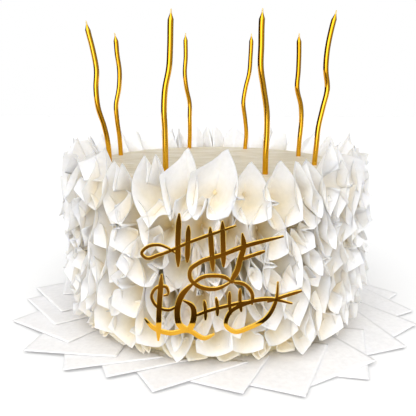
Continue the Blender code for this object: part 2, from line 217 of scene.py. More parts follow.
# Painted warm light: the side is a brighter butter yellow than the top, for light bounced between papers.
height = add(tree, "SeparateXYZ", {"Vector": place})
side_glow_mask = add(tree, "MapRange", {"Value": height.outputs["Z"], "From Min": 0.131, "From Max": 0.128})
colours = {0: side_glow_mask.outputs["Result"], 6: cream_and_groove_shade.outputs["Color"], 7: srgb("#FFF0C8")}
soak_and_glow = add(tree, "Mix", colours, data_type="RGBA")
tree.links.new(soak_and_glow.outputs[2], shader.inputs["Base Color"])
ridges = add(tree, "Bump", {"Height": streak.outputs["Fac"], "Strength": 0.6, "Distance": 0.0015})
tree.links.new(ridges.outputs["Normal"], shader.inputs["Normal"])
shader.inputs["Roughness"].default_value = 0.5
shader.inputs["IOR"].default_value = 1.45
shader.inputs["Subsurface Weight"].default_value = 0.3
shader.inputs["Subsurface Radius"].default_value = (1.0, 0.8, 0.5)
shader.inputs["Subsurface Scale"].default_value = 0.004
print("material:", frosting.name)

# %% [markdown]
# ## The two golds
# The candles are paraffin coated with metallic gold lacquer: a metal to the eye, but a little cloudy, with
# faint runs along the dipping direction. The topper is acrylic sheet with a vapour-deposited gold mirror,
# almost perfectly smooth on its faces, while its laser-cut edge, slightly broken, is yellow; that colour is
# pushed close to full brightness, a painted highlight where the cut edge catches light. Both golds are
# metals in the shader, with the colour of gold leaf. What makes them light or dark is what they mirror.

# %% Gold lacquer material

gold_wax, tree, shader = new_material("gold_lacquered_wax")
place = add(tree, "TexCoord").outputs["Object"]
runs = add(tree, "Mapping", {"Vector": place, "Scale": (160.0, 160.0, 25.0)})
cloud = add(tree, "TexNoise", {"Vector": runs.outputs["Vector"], "Scale": 1.0, "Detail": 3.0})
lacquer = add(tree, "ValToRGB", {"Fac": cloud.outputs["Fac"]})
ramp_stops(lacquer, [(0.35, srgb("#E0A11E")), (0.65, srgb("#E8AF30"))])
below_tip = add(tree, "Attribute", attribute_name="below_tip").outputs["Fac"]
coated = add(tree, "MapRange", {"Value": below_tip, "From Min": 2.6, "From Max": 3.4})
colours = {0: coated.outputs["Result"], 6: srgb("#E8CD8A"), 7: lacquer.outputs["Color"]}
waxed = add(tree, "Mix", colours, data_type="RGBA")
tree.links.new(waxed.outputs[2], shader.inputs["Base Color"])
tree.links.new(coated.outputs["Result"], shader.inputs["Metallic"])
dulled = add(tree, "MapRange", {"Value": cloud.outputs["Fac"], "To Min": 0.08, "To Max": 0.14})
tree.links.new(dulled.outputs["Result"], shader.inputs["Roughness"])
print("material:", gold_wax.name)

# %% Gold mirror material

gold_mirror, tree, shader = new_material("gold_mirror_acrylic")
place = add(tree, "TexCoord").outputs["Object"]
waver = add(tree, "TexNoise", {"Vector": place, "Scale": 45.0, "Detail": 1.0})
soft = add(tree, "Bump", {"Height": waver.outputs["Fac"], "Strength": 0.08, "Distance": 0.001})
tree.links.new(soft.outputs["Normal"], shader.inputs["Normal"])
tint = add(tree, "ValToRGB", {"Fac": waver.outputs["Fac"]})
ramp_stops(tint, [(0.3, srgb("#DDA02A")), (0.7, srgb("#EAB440"))])
tree.links.new(tint.outputs["Color"], shader.inputs["Base Color"])
shader.inputs["Metallic"].default_value = 1.0
shader.inputs["Roughness"].default_value = 0.04
print("material:", gold_mirror.name)

# %% Cut edge material

cut_edge, tree, shader = new_material("cut_acrylic_edge")
place = add(tree, "TexCoord").outputs["Object"]
lines = add(tree, "Mapping", {"Vector": place, "Scale": (900.0, 30.0, 900.0)})
laser = add(tree, "TexNoise", {"Vector": lines.outputs["Vector"], "Scale": 1.0, "Detail": 1.0})
# Partly the edge's own yellow and partly a painted highlight: pushed near full brightness, as if catching
# light.
edge_colour_and_highlight = add(tree, "ValToRGB", {"Fac": laser.outputs["Fac"]})
ramp_stops(edge_colour_and_highlight, [(0.3, srgb("#FFC22A")), (0.7, srgb("#FFE070"))])
tree.links.new(edge_colour_and_highlight.outputs["Color"], shader.inputs["Base Color"])
shader.inputs["Roughness"].default_value = 0.25
shader.inputs["IOR"].default_value = 1.49
print("material:", cut_edge.name)

# %% [markdown]
# ## The frosted core
# Under the paper is a plain drum of frosting, 208 mm across and 136 mm high. It could be a cylinder with a
# bevel, but a turned profile with many rings lets the top be drawn slightly uneven, as a knife leaves it.

# %% Frosted core

CORE_RADIUS, CORE_HEIGHT, CORE_EDGE = 104 * MM, 136 * MM, 5 * MM
CORE_SEGMENTS, SIDE_RINGS, EDGE_RINGS, TOP_RINGS = 144, 24, 8, 40
TOP_WAVE = 0.6 * MM


def uneven_top(x, y):
    """The low waves of the spread frosting."""
    return TOP_WAVE * noise.noise(Vector((x * 18, y * 160, 3.0)))


profile = [(CORE_RADIUS, CORE_HEIGHT * k / SIDE_RINGS) for k in range(SIDE_RINGS)]
for k in range(EDGE_RINGS + 1):
    lean = math.pi / 2 * k / EDGE_RINGS
    inset, drop = CORE_EDGE * (1 - math.cos(lean)), CORE_EDGE * (1 - math.sin(lean))
    profile.append((CORE_RADIUS - inset, CORE_HEIGHT - drop))
profile += [((CORE_RADIUS - CORE_EDGE) * (1 - k / TOP_RINGS), CORE_HEIGHT) for k in range(1, TOP_RINGS)]
points = []
for radius, height in profile:
    for k in range(CORE_SEGMENTS):
        turn = 2 * math.pi * k / CORE_SEGMENTS
        x, y = radius * math.cos(turn), radius * math.sin(turn)
        on_top = height > CORE_HEIGHT - 1 * MM
        points.append((x, y, height + (uneven_top(x, y) - TOP_WAVE if on_top else 0)))
faces = joined_rings(CORE_SEGMENTS, len(profile))
faces.append(range(len(points) - CORE_SEGMENTS, len(points)))
faces.append(range(CORE_SEGMENTS - 1, -1, -1))
new_piece("frosted_core", points, faces, frosting, "cake")
print("core points:", len(points))

# %% [markdown]
# ## Five ways to fold a square
# A square that is pinched at its middle can't stretch, so it becomes a cone: every line from the pinch to the
# edge stays straight. What differs is the way the edge runs round the pinch, and sixteen bearings, read from
# the pinch, are enough to say which. A cloth simulation could fold each square, but bearings read off the
# cake give the folds that it really has: a heart with an inner drop like a calla lily, two leaves side by
# side, a boat with a split foot, a single leaf with one pleat below, and an open shell with one pleat at its
# side.

# %% Five folds

# Bearings in degrees sideways and upwards. The second tuple names those that the measured solid keeps.
HEART = (
    ((2, -46), (18, -36), (29, -14), (28, 14), (10, 43), (5, 26), (3, 6), (9, -12),
     (0, -25), (-9, -12), (-3, 6), (-2, 26), (-8, 44), (-26, 18), (-29, -12), (-16, -36)),
    (0, 2, 4, 6, 8, 12, 14),
)
TWIN = (
    ((5, 44), (19, 30), (28, 6), (24, -18), (6, -42), (0, -26), (-2, -9), (-4, -26),
     (-8, -41), (-26, -24), (-31, 0), (-27, 20), (-8, 42), (-5, 26), (-4, 13), (-1, 28)),
    (0, 2, 4, 6, 8, 10, 12),
)
BOAT = (
    ((2, 44), (17, 31), (28, 10), (26, -15), (8, -41), (1, -26), (0, -11), (-3, -26),
     (-8, -42), (-24, -26), (-31, -8), (-33, 9), (-30, 24), (-22, 30), (-15, 36), (-7, 41)),
    (0, 2, 4, 6, 8, 10, 12),
)
LEAF = (
    ((0, 46), (15, 34), (25, 16), (27, -4), (22, -24), (9, -37), (-3, -36), (-5, -14),
     (-8, -36), (-20, -35), (-29, -22), (-31, -4), (-28, 10), (-22, 24), (-15, 36), (-8, 43)),
    (0, 3, 5, 7, 9, 11, 14),
)
SHELL = (
    ((0, 45), (16, 33), (27, 15), (30, -4), (25, -24), (13, -38), (-2, -44), (-16, -36),
     (-27, -20), (-29, -5), (-12, -3), (-29, 1), (-31, 12), (-26, 24), (-18, 34), (-9, 42)),
    (0, 2, 4, 6, 8, 10, 12),
)
FOLDS, FOLD_SHARES = (HEART, TWIN, BOAT, LEAF, SHELL), (3, 1, 1, 5, 5)
print("folds:", len(FOLDS), "with", len(HEART[0]), "bearings each")

# %% [markdown]
# ## Where each square is pinched in
# Five rows of 34 squares, each row half a step on from the one above. They could be copies round a circle,
# but handwork varies, so places, heights, sizes and turns are drawn at random a little, from a fixed seed
# that gives the same cake each time. These are the same numbers and draws that the measured model was built
# with.

# %% Places of the squares

ROWS, PER_ROW, FOLDS_TRIED, RUFFLE_SEED = 5, 34, 8, 12
TOP_ROW_HEIGHT, ROW_STEP, PINCH_DEPTH = 125 * MM, 24 * MM, 2.0 * MM
SHEET_HALF_SIDE, LOWEST_SHEET_SHARE, EDGE_BOW = 29 * MM, 0.88, 0.55


def facing(bearing):
    """Outward and sideways directions at a bearing from the front."""
    out = np.array((math.sin(bearing), -math.cos(bearing), 0))
    return out, np.array((math.cos(bearing), math.sin(bearing), 0))


def edge_reach(round_sheet):
    """How far the edge of a square lies from the pinch, in half sides, at an angle from one corner."""
    straight = 1 / np.maximum(abs(np.cos(round_sheet - np.pi / 4)), abs(np.sin(round_sheet - np.pi / 4)))
    return straight**EDGE_BOW


def random_fold(draw):
    """One way of folding, mirrored, stretched and turned at random: all its bearings, and those kept."""
    bearings, kept = draw.choices(FOLDS, FOLD_SHARES)[0]
    fold = np.array(bearings, float)
    fold[:, 0] *= draw.choice((-1, 1)) * draw.uniform(0.85, 1.15)
    fold[:, 1] *= draw.choice((1, 1, -1)) * draw.uniform(0.9, 1.2)
    roll = math.radians(draw.uniform(-28, 28))
    turn = np.array(((math.cos(roll), -math.sin(roll)), (math.sin(roll), math.cos(roll))))
    return fold @ turn.T, list(kept)


def ruffle_plan():
    """Where each square is pinched in, how it may be folded and how long its sides are."""
    draw = random.Random(RUFFLE_SEED)
    plan = []
    for row in range(ROWS):
        for k in range(PER_ROW):
            place = k + 0.5 * (row % 2) + draw.uniform(-0.12, 0.12)
            height = TOP_ROW_HEIGHT - row * ROW_STEP + draw.uniform(-3, 3) * MM
            folds = [random_fold(draw) for _ in range(FOLDS_TRIED)]
            size = draw.uniform(0.94, 1.06) * (LOWEST_SHEET_SHARE if row == ROWS - 1 else 1.0)
            out, across = facing(2 * math.pi * place / PER_ROW)
            pinch = out * (CORE_RADIUS - PINCH_DEPTH) + np.array((0, 0, height))
            lean = math.radians(9 + draw.uniform(-6, 6))
            axis = out * math.cos(lean) + np.array((0, 0, math.sin(lean)))
            above = -np.cross(across, axis)
            above = above if above[2] > 0 else -above
            plan.append((row, pinch, out, np.array((across, above, axis)), folds, SHEET_HALF_SIDE * size))
    return plan


plan = ruffle_plan()
print("squares pinched in:", len(plan))

# %% [markdown]
# ## Room between neighbours
# Neighbours press on each other. Physics could find out how, but planes half-way between them do as well:
# every fold is squeezed until it is clear of its planes, and of eight tries the fullest is kept. Thin paper
# slips past its neighbours more easily than the thicker sheets of the measured model, so here only a fifth
# of the squeeze stays. The price is that neighbouring sheets cross in places, mostly where the overlap hides
# it.

# %% Planes between neighbours

ROW_OVERLAP, CELL_STRETCH, NEIGHBOURS_WITHIN = 0.35, 1.6, 90 * MM


def shared_planes(plan):
    """For each square, the planes it must stay behind so that it doesn't run through its neighbours."""
    draw = random.Random(RUFFLE_SEED + 1)
    planes = [[] for _ in plan]
    for i, (row_i, pinch_i, out_i, *_) in enumerate(plan):
        for j in range(i + 1, len(plan)):
            row_j, pinch_j, out_j = plan[j][:3]
            between = pinch_j - pinch_i
            if np.linalg.norm(between) > NEIGHBOURS_WITHIN:
                continue
            out = (out_i + out_j) / np.linalg.norm(out_i + out_j)
            across = np.array((-out[1], out[0], 0))
            sideways, upwards = between @ across, between[2] / CELL_STRETCH**2
            lean = abs(sideways) * draw.uniform(-0.3, 0.3) if row_i == row_j else upwards * ROW_OVERLAP
            normal = across * sideways + np.array((0, 0, upwards)) + out * lean
            normal /= np.linalg.norm(normal)
            middle = (pinch_i + pinch_j) / 2
            planes[i].append((normal, normal @ middle))
            planes[j].append((-normal, -normal @ middle))
    return planes


planes = shared_planes(plan)
print("planes between neighbours:", sum(len(its_planes) for its_planes in planes) // 2)

# %% Fit a fold to its room

SOLID_PAPER, GAP, RUFFLE_FLOOR = 1.0 * MM, 0.4 * MM, 6.5 * MM
SQUEEZE_STEP, SQUEEZES, SQUEEZE_KEPT = 0.93, 80, 0.2


def fold_rays(fold, axes):
    """Unit rays from the pinch for bearings given in degrees sideways and upwards."""
    angle = np.radians(np.linalg.norm(fold, axis=1))
    level = np.sin(angle) / np.maximum(angle, 1e-9)
    local = np.stack([np.radians(fold[:, 0]) * level, np.radians(fold[:, 1]) * level, np.cos(angle)], 1)
    return local @ axes


def fitted_fold(pinch, axes, fold, lengths, planes):
    """The fold squeezed towards its axis, side by side, until the whole square is clear of its neighbours."""
    normals = np.array([normal for normal, _ in planes])
    limits = np.array([limit for _, limit in planes]) - SOLID_PAPER - GAP / 2
    share = {"left": 1.0, "right": 1.0, "down": 1.0, "up": 1.0}
    for _ in range(SQUEEZES):
        sideways = np.where(fold[:, 0] > 0, share["right"], share["left"])
        squeezed = fold * np.stack([sideways, np.where(fold[:, 1] > 0, share["up"], share["down"])], 1)
        tips = pinch + fold_rays(squeezed, axes) * lengths[:, None]
        low = (RUFFLE_FLOOR + SOLID_PAPER - tips[:, 2])[:, None]
        over = np.concatenate([tips @ normals.T - limits, low], 1)
        tip, plane = np.unravel_index(over.argmax(), over.shape)
        if over[tip, plane] <= 0:
            break
        normal = normals[plane] if plane < len(normals) else np.array((0, 0, -1.0))
        pushes = axes[:2] @ normal * squeezed[tip]
        if pushes[0] > pushes[1]:
            share["right" if fold[tip, 0] > 0 else "left"] *= SQUEEZE_STEP
        else:
            share["up" if fold[tip, 1] > 0 else "down"] *= SQUEEZE_STEP
    return squeezed, share


def fold_area(fold):
    """Twice the area that a fold encloses, in square degrees."""
    after = np.roll(fold, -1, 0)
    return abs((fold[:, 0] * after[:, 1] - fold[:, 1] * after[:, 0]).sum())


def fullest_fold(pinch, axes, folds, half, planes):
    """The fold that stays largest when it is squeezed, with most of the squeeze taken off again."""
    fits = []
    for fold, kept in folds:
        lengths = half * edge_reach(2 * np.pi * np.array(kept) / len(fold))
        fits.append((fold, *fitted_fold(pinch, axes, fold[kept], lengths, planes)))
    fold, _, share = max(fits, key=lambda fit: fold_area(fit[1]))
    eased = {side: 1 - SQUEEZE_KEPT * (1 - much) for side, much in share.items()}
    sideways = np.where(fold[:, 0] > 0, eased["right"], eased["left"])
    return fold * np.stack([sideways, np.where(fold[:, 1] > 0, eased["up"], eased["down"])], 1)


print("the heart's area, in square degrees:", round(fold_area(np.array(HEART[0], float)) / 2))

# %% [markdown]
# ## The paper itself
# Each square is drawn as a sheet of rays and rings. A smooth closed curve through the sixteen bearings
# gives 64 rays, their lengths follow the straight sides of the square, and the rings let the corners curl a
# little, as dry paper does. Each point keeps its distance from the pinch for the material. Behind the scroll
# topper the paper is held back, so that nothing pokes through the plate.

# %% One pinched sheet

RAYS_BETWEEN, CURL_KNOTS = 4, 8
RINGS = (0.05, 0.15, 0.28, 0.42, 0.56, 0.7, 0.84, 1.0)
PLATE_Y, PLATE_LEAN, PLATE_THICKNESS = -134 * MM, 0.044, 1.5 * MM
PLATE_CLEARANCE, PLATE_SIDES, PLATE_HEIGHTS = 0.6 * MM, (-62 * MM, 72 * MM), (14 * MM, 134 * MM)


def round_fold(fold, steps):
    """A smooth closed curve through the bearings of a fold."""
    before, after, beyond = np.roll(fold, 1, 0), np.roll(fold, -1, 0), np.roll(fold, -2, 0)
    t = (np.arange(steps) / steps)[None, :, None]
    a, b, c, d = before[:, None], fold[:, None], after[:, None], beyond[:, None]
    curve = b + 0.5 * t * (c - a + t * (2 * a - 5 * b + 4 * c - d + t * (3 * (b - c) + d - a)))
    return curve.reshape(-1, 2)


def pinched_sheet(draw, pinch, axes, fold, half):
    """Points, faces and distances from the pinch of one folded square."""
    curve = round_fold(fold, RAYS_BETWEEN)
    count = len(curve)
    lengths = half * edge_reach(2 * np.pi * np.arange(count) / count)
    rays = fold_rays(curve, axes)
    along = np.roll(rays, -1, 0) - np.roll(rays, 1, 0)
    away = np.cross(along, rays)
    away /= np.linalg.norm(away, axis=1, keepdims=True)
    knots = [draw.uniform(-0.04, 0.07) for _ in range(CURL_KNOTS)]
    curl = np.interp(np.arange(count) * CURL_KNOTS / count, range(CURL_KNOTS + 1), knots + knots[:1])
    points, marks = [pinch], [0.0]
    for ring in RINGS:
        spots = pinch + rays * (lengths * ring)[:, None] + away * (curl * lengths * ring**3)[:, None]
        for spot in spots:
            if PLATE_SIDES[0] < spot[0] < PLATE_SIDES[1] and PLATE_HEIGHTS[0] < spot[2] < PLATE_HEIGHTS[1]:
                plate_back = PLATE_Y + spot[2] * PLATE_LEAN + PLATE_THICKNESS / 2
                spot[1] = max(spot[1], plate_back + PLATE_CLEARANCE)
            spot[2] = max(spot[2], RUFFLE_FLOOR)
        points.extend(spots)
        marks.extend(lengths * ring / MM)
    faces = [(0, 1 + k, 1 + (k + 1) % count) for k in range(count)]
    for ring in range(len(RINGS) - 1):
        for k in range(count):
            a, b = 1 + ring * count + k, 1 + ring * count + (k + 1) % count
            faces.append((a, a + count, b + count, b))
    return points, faces, marks


print("rays to a sheet:", RAYS_BETWEEN * len(HEART[0]), "rings:", len(RINGS))

# %% [markdown]
# ## Row by row
# The squares of one row become one mesh, which keeps the list of pieces short. A Solidify modifier gives
# the sheets their thickness, half to each side. With a Weighted Normal modifier after it the broad faces
# decide how the light falls, so that the cut edge stays crisp instead of shading round like a bead.

# %% The five rows of pinched squares

PAPER_THICKNESS = 0.45 * MM


def thicken(piece, thickness):
    """Gives a sheet its thickness, half to each side."""
    thick = piece.modifiers.new("paper", "SOLIDIFY")
    thick.thickness = thickness
    thick.offset = 0


def pinched_row(name, sheets):
    """One piece from many pinched sheets, each given as points, faces and distances from its pinch."""
    points, faces, marks = [], [], []
    for sheet, sheet_faces, sheet_marks in sheets:
        faces += [tuple(len(points) + v for v in face) for face in sheet_faces]
        points += sheet
        marks += sheet_marks
    row = new_piece(name, points, faces, petal_paper, "cake", marks={"from_pinch": marks})
    thicken(row, PAPER_THICKNESS)
    print(row.name, "faces:", len(faces))
    return row


draw = random.Random(RUFFLE_SEED + 2)
for row in range(ROWS):
    sheets = []
    for (its_row, pinch, _, axes, folds, half), its_planes in zip(plan, planes):
        if its_row == row:
            fold = fullest_fold(pinch, axes, folds, half, its_planes)
            sheets.append(pinched_sheet(draw, pinch, axes, fold, half))
    crisp = pinched_row(f"paper_row_{row + 1}", sheets).modifiers.new("crisp edge", "WEIGHTED_NORMAL")
    crisp.weight = 100

# %% [markdown]
# ## The row at the foot
# Below the fifth row, smaller squares are tucked in, half hidden by the others. They close the gap down to
# the flat squares. So little of them shows that they need neither a lean nor a fit to their neighbours.

# %% Small squares tucked in round the foot

FOOT_HEIGHT, FOOT_HALF_SIDE = 14 * MM, 16 * MM
sheets = []
for k in range(PER_ROW):
    out, across = facing(2 * math.pi * (k + 0.5 + draw.uniform(-0.15, 0.15)) / PER_ROW)
    pinch = out * (CORE_RADIUS - PINCH_DEPTH) + np.array((0, 0, FOOT_HEIGHT))
    fold = random_fold(draw)[0] * np.array((1.0, 0.6))
    axes = np.array((across, (0, 0, 1), out))
    sheets.append(pinched_sheet(draw, pinch, axes, fold, FOOT_HALF_SIDE))
pinched_row("paper_foot", sheets)

# %% [markdown]
# ## The flat squares round the foot
# They lie like roof tiles in a ring, each tipped a little so that one edge rests on its neighbour. The
# measured model has them as flat plates. Real paper that has been handled isn't flat, so each is drawn
# again as a fine grid with a slow cockle of up to a quarter of a millimetre, where its plate lies.

# %% Flat squares

SKIRT_SHEETS, SKIRT_SIDE, SKIRT_SLOPE, SKIRT_MIDDLE = 25, 74 * MM, 0.039, 2.2 * MM
SKIRT_TIP_RADIUS, SKIRT_SIDE_REACH, SKIRT_SEED = 164 * MM, 18 * MM, 5
# Those in front, by number: degrees from an even place, degrees of spin, millimetres out to the corner
FRONT_SQUARES = {23: (-3, 37, 153), 24: (0, 47, 156), 0: (0.3, 25, 153), 1: (5.8, 43, 166), 2: (6, 5, 158)}
SKIRT_GRID, SKIRT_THICKNESS, SKIRT_FLOOR = 30, 0.5 * MM, 0.3 * MM
FLAT_PAPER_THICKNESS, COCKLE = 0.4 * MM, 0.35 * MM

draw = random.Random(SKIRT_SEED)
for number in range(SKIRT_SHEETS):
    bearing = 2 * math.pi * number / SKIRT_SHEETS
    reach = SKIRT_TIP_RADIUS + SKIRT_SIDE_REACH * min(1, 1 - math.cos(bearing)) + draw.uniform(-5, 4) * MM
    spin = math.radians(45 + draw.uniform(-13, 13))
    swing = draw.uniform(-5, 5) * MM
    if number in FRONT_SQUARES:
        shift, turned, corner = FRONT_SQUARES[number]
        bearing, spin, reach, swing = bearing + math.radians(shift), math.radians(turned), corner * MM, 0
    out, across = facing(bearing)
    corner_turns = [spin - math.pi / 4 + q * math.pi / 2 for q in range(4)]
    outermost = SKIRT_SIDE * math.sqrt(0.5) * max(math.cos(turn) for turn in corner_turns)
    points, grid = [], {}
    for i in range(SKIRT_GRID + 1):
        for j in range(SKIRT_GRID + 1):
            u, v = (i / SKIRT_GRID - 0.5) * SKIRT_SIDE, (j / SKIRT_GRID - 0.5) * SKIRT_SIDE
            x = u * math.cos(spin) - v * math.sin(spin) + swing
            y = u * math.sin(spin) + v * math.cos(spin) + reach - outermost
            if y < CORE_RADIUS - 2 * MM:
                continue
            slow = noise.noise(Vector((x * 45, y * 45, number * 7.3)))
            quick = noise.noise(Vector((x * 120, y * 120, number)))
            wave = slow * 0.5 + quick * 0.2
            height = SKIRT_MIDDLE + SKIRT_SLOPE * x + SKIRT_THICKNESS / 2 + wave * COCKLE
            grid[i, j] = len(points)
            points.append(across * x + out * y + np.array((0, 0, max(height, SKIRT_FLOOR))))
    faces = []
    for i, j in grid:
        corners = ((i, j), (i + 1, j), (i + 1, j + 1), (i, j + 1))
        if all(corner in grid for corner in corners):
            faces.append([grid[corner] for corner in corners])
    name = f"square_{number + 1:02d}"
    sheet = new_piece("paper_" + name, points, faces, flat_paper, name)
    thicken(sheet, FLAT_PAPER_THICKNESS)
print("flat squares:", SKIRT_SHEETS)

# %% [markdown]
# ## The candles
# Thin party candles, 4.2 mm thick, bent into slow waves while warm. Each follows a smooth curve through the
# bends that were measured on it, and its tip is drawn in to the bare wick, which the material leaves pale.
# A curve object with a round bevel would do, but a mesh tube gives the taper and stays exact.

# %% Measures of the candles

# In millimetres, as the bends are
CANDLE_RADIUS, CANDLE_IN_CAKE, CANDLE_TAPER, BEND_STEP = 2.1, 20, 7, 15
WICK_BELOW_TIP, WICK_RADII = (0, 0.5, 3.2), (0.25, 0.5, 0.7)
CANDLE_SIDES, CANDLE_RINGS, TAPER_RINGS = 40, 160, 14
BEND_IN_DEPTH = 0.3  # how much of each bend also goes towards the back
# Degrees round the cake, distance from its middle, bends every 15 mm, the bend at the tip, height
CANDLES = (
    (-75, 91, (0, -0.5, -3, -7, -8, -7, -9, -12), -13, 112),
    (-108, 92, (0, -0.5, -2, -2.5, 0.5, 1.5, 0, -1), -1.5, 108),
    (-24, 88, (0, 0, 0, -0.5, 0.5, 3.5, 4.5, 5), 5.5, 114),
    (-163, 90, (0, 0.5, 0.5, 0.5, -2.5, -4, -3, -3), -3, 113),
    (159, 86, (0, 1, -0.5, -2.5, -0.5, 3, 4, 4.5), 4.5, 112),
    (25, 87, (0, 0, 0.5, 0, -2.5, -5, -5, -5), -4.5, 114),
    (107, 80, (0, 0.5, 1.5, 0.5, -3.5, -3, -3, -3.5), -3.5, 107),
    (69, 87, (0, 1, 2, 5, 8, 6, 6.5, 9), 12.5, 119.5),
)


def smooth_through(steps, values, at):
    """A smooth curve through values given at certain steps, read at `at`."""
    slopes = np.gradient(values, steps)
    k = np.clip(np.searchsorted(steps, at) - 1, 0, len(steps) - 2)
    span = steps[k + 1] - steps[k]
    t = (at - steps[k]) / span
    h00, h10 = (1 + 2 * t) * (1 - t) ** 2, t * (1 - t) ** 2
    h01, h11 = t**2 * (3 - 2 * t), t**2 * (t - 1)
    return h00 * values[k] + h10 * span * slopes[k] + h01 * values[k + 1] + h11 * span * slopes[k + 1]


print("half-way between 0 and 1:", smooth_through(np.arange(4.0), np.arange(4.0), np.array([0.5])))

# %% Candles

for number, (bearing, distance, bends, tip_bend, height) in enumerate(CANDLES):
    out, _ = facing(math.radians(bearing))
    foot = out * distance * MM + np.array((0, 0, CORE_HEIGHT))
    steps = np.array([-CANDLE_IN_CAKE, *[BEND_STEP * k for k in range(len(bends))], height], float)
    sideways = np.array([0.0, *bends, tip_bend])
    shoulder = height - CANDLE_TAPER
    body = np.linspace(-CANDLE_IN_CAKE, shoulder, CANDLE_RINGS)
    level = np.concatenate([body, shoulder + np.linspace(0.5, CANDLE_TAPER, TAPER_RINGS)])
    bend = smooth_through(steps, sideways, level) * MM
    radii = np.interp(height - level, (*WICK_BELOW_TIP, CANDLE_TAPER), (*WICK_RADII, CANDLE_RADIUS)) * MM
    points = []
    for z, shift, radius in zip(level * MM, bend, radii):
        for k in range(CANDLE_SIDES):
            turn = 2 * math.pi * k / CANDLE_SIDES
            x, y = shift + radius * math.cos(turn), BEND_IN_DEPTH * shift + radius * math.sin(turn)
            points.append(foot + np.array((x, y, z)))
    faces = [range(CANDLE_SIDES - 1, -1, -1), range(len(points) - CANDLE_SIDES, len(points))]
    faces += joined_rings(CANDLE_SIDES, len(level))
    marks = {"below_tip": np.repeat(height - level, CANDLE_SIDES)}
    name = f"candle_{number + 1}"
    new_piece("gold_" + name, points, faces, gold_wax, name, marks=marks)
print("candles:", len(CANDLES))

# %% [markdown]
# ## The scroll topper
# A laser-cut scroll of mirror acrylic, 1.5 mm thick: rising swashes, loops and pointed strokes, all
# overlapping so that it comes out of the sheet in one piece. A curve with a bevel would round its edges, so
# each stroke is drawn flat as a ribbon along a smooth line, swelling in the middle and drawn out to its ends,
# with the edge in front slightly broken.

# %% Topper strokes

# Half the width in the middle, then the points that the line goes through, across and up, all in millimetres
STROKES = (
    (1.1, ((-25, 91), (-31, 95), (-37, 97), (-45, 95), (-48, 91), (-45, 88), (-37, 90), (-16, 99),
           (14, 110))),
    (1.5, ((45, 103), (19, 96), (4, 90), (-10, 85), (-16, 80), (-16, 74), (-11, 69), (1, 67), (13, 73))),
    (1.3, ((12, 71), (7, 75), (0, 76), (-8, 75), (-15, 70))),
    (1.9, ((18, 105), (19, 96), (17, 88), (15, 80), (10, 71))),
    (1.2, ((33, 93), (22, 89), (16, 87))),
    (1.9, ((-23, 118), (-24, 100), (-24, 82))),
    (1.8, ((-17, 110), (-17.5, 98), (-18, 85))),
    (1.8, ((-3, 109), (-2, 94), (-1, 79))),
    (1.8, ((5, 113), (5.5, 98), (6, 82))),
    (2.1, ((-13, 72), (-22, 62), (-25, 50), (-23, 41), (-18, 38), (-14, 46), (-15, 55), (-21, 59))),
    (1.9, ((-35, 77), (-36, 66), (-37, 53), (-38, 30))),
    (1.1, ((-34, 62), (-31, 63), (-32, 68), (-38, 68), (-42, 62), (-39, 55), (-31, 52), (-23, 56))),
    (1.6, ((-47, 46), (-42, 40), (-30, 35.5), (-18, 37.5), (-6, 32), (0, 35))),
    (1.5, ((42, 72), (41, 59), (35, 47), (24, 40), (13, 37), (8, 41), (10, 50), (21, 57), (38, 60),
           (52, 57))),
    (1.2, ((58, 66), (46, 62), (35, 58))),
    (1.2, ((-15, 47), (-6, 51), (8, 55), (22, 58.5))),
    (1.3, ((12, 72), (20, 70), (25, 64), (25, 56))),
    (1.3, ((-7, 59), (-6, 52), (-6, 45))),
    (1.3, ((1, 61), (2, 54), (2, 48))),
    (1.3, ((10, 65), (10, 57), (11, 49))),
    (1.3, ((17, 67), (17, 59), (18, 51))),
)
print("strokes:", len(STROKES))

# %% One flat ribbon

STROKE_TIP, EDGE_BREAK, STROKE_STEP, SWELL_SHARE = 0.6, 0.18, 1.2, 0.22
FACE_STEP = 0.002 * MM


def smooth_line(stroke):
    """Evenly spaced points, in millimetres, along a smooth line through a stroke's points."""
    line = np.array(stroke, float)
    run = np.concatenate([[0], np.cumsum(np.linalg.norm(np.diff(line, axis=0), axis=1))])
    at = np.linspace(0, run[-1], max(8, int(run[-1] / STROKE_STEP)))
    return np.stack([smooth_through(run, line[:, axis], at) for axis in (0, 1)], 1)


def ribbon(number, half_width, stroke):
    """One flat ribbon in the plane of the front, as a closed solid a hair thinner than the one before."""
    line = smooth_line(stroke)
    count = len(line)
    ahead = np.gradient(line, axis=0)
    ahead /= np.linalg.norm(ahead, axis=1, keepdims=True)
    side = np.stack([-ahead[:, 1], ahead[:, 0]], 1)
    swell = np.minimum(1, np.minimum(np.arange(count), np.arange(count)[::-1]) / (count * SWELL_SHARE))
    width = (STROKE_TIP + (half_width - STROKE_TIP) * np.sin(swell * math.pi / 2))[:, None]
    thickness = PLATE_THICKNESS - 2 * number * FACE_STEP
    levels = ((-thickness / 2, EDGE_BREAK), (-thickness / 2 + EDGE_BREAK * MM, 0), (thickness / 2, 0))
    points = []
    for depth, inset in levels:
        reach = side * (width - inset)
        outline = np.concatenate([line + reach, (line - reach)[::-1]])
        points += [(x * MM, depth, z * MM) for x, z in outline]
    total = 2 * count
    faces = []
    for k in range(count - 1):
        quad = (k, k + 1, total - 2 - k, total - 1 - k)
        faces += [quad, tuple(2 * total + q for q in reversed(quad))]
    for level in (0, total):
        for k in range(total):
            a, b = level + k, level + (k + 1) % total
            faces.append((b, a, a + total, b + total))
    mesh = bpy.data.meshes.new(f"stroke_{number}")
    mesh.from_pydata(points, [], faces)
    return bpy.data.objects.new(f"stroke_{number}", mesh)


print("points along the first stroke:", len(smooth_line(STROKES[0][1])))

# %% [markdown]
# ## One plate from all the strokes
# A mirror shows every seam, so the ribbons are joined by one Boolean union while they stand in the same
# plane. Faces that lie exactly in one another would leave marks where strokes cross, which is why each ribbon
# is a hair thinner than the one before. The joined plate is then leant back against the paper, and every face
# that doesn't look to the front or the back gets the material of the cut edge.

# %% Join the strokes and lean the plate

